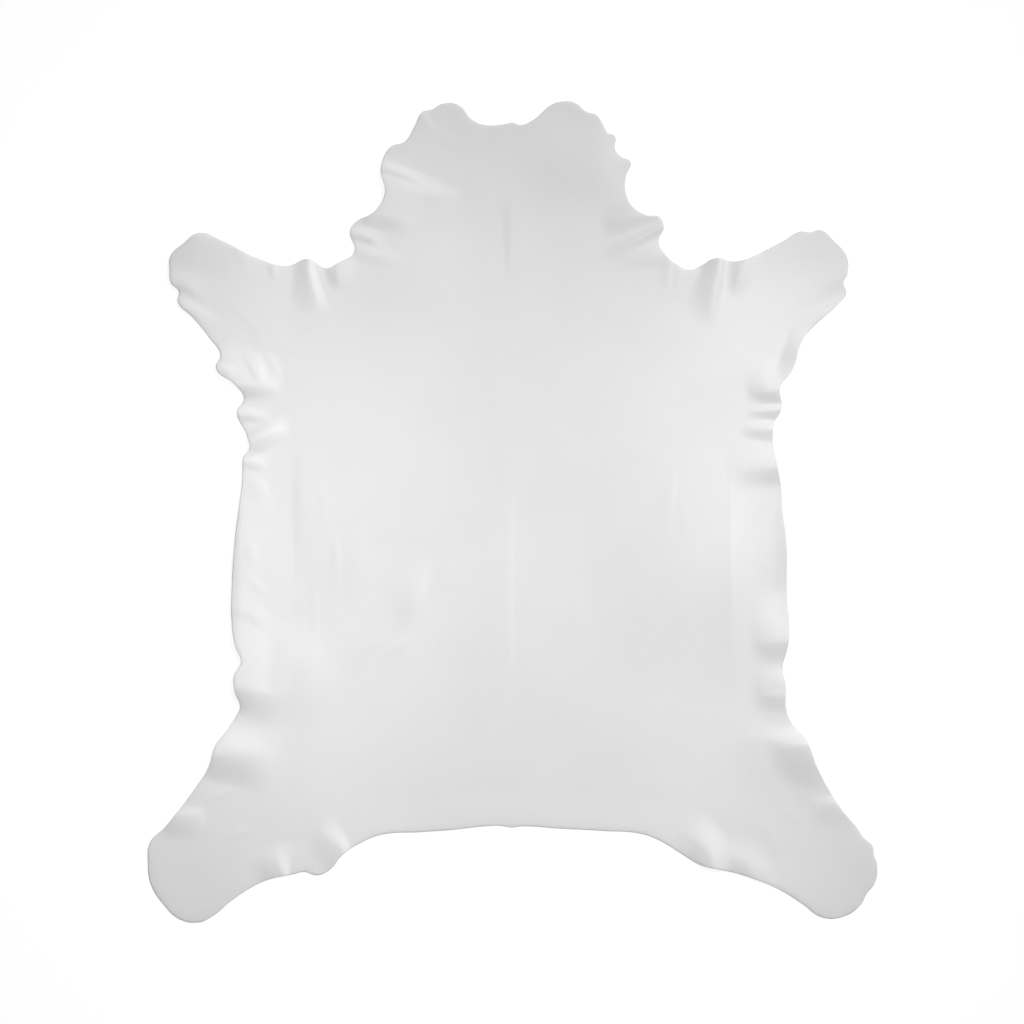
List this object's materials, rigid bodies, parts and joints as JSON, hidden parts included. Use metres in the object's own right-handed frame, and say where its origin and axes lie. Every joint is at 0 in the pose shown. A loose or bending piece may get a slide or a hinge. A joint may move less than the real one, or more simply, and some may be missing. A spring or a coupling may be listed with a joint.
{
  "type": "leather hide",
  "caption": "Whole cattle hide in smooth white leather, laid out grain side up, flat in the middle with soft folds around its cut edge.",
  "frame": {"origin": "on the surface that the hide lies on, under the middle of its bounding box", "axes": "+Y along the backbone towards the neck, +X towards the right as seen from above with the neck up, +Z out of the grain side"},
  "size_m": [2.3993, 2.6999, 0.0432],
  "materials": {
    "leather": "smooth white finished grain, semi-matt, with a paler suede flesh side"
  },
  "bodies": {
    "root": {"hide": "leather"}
  },
  "joints": []
}
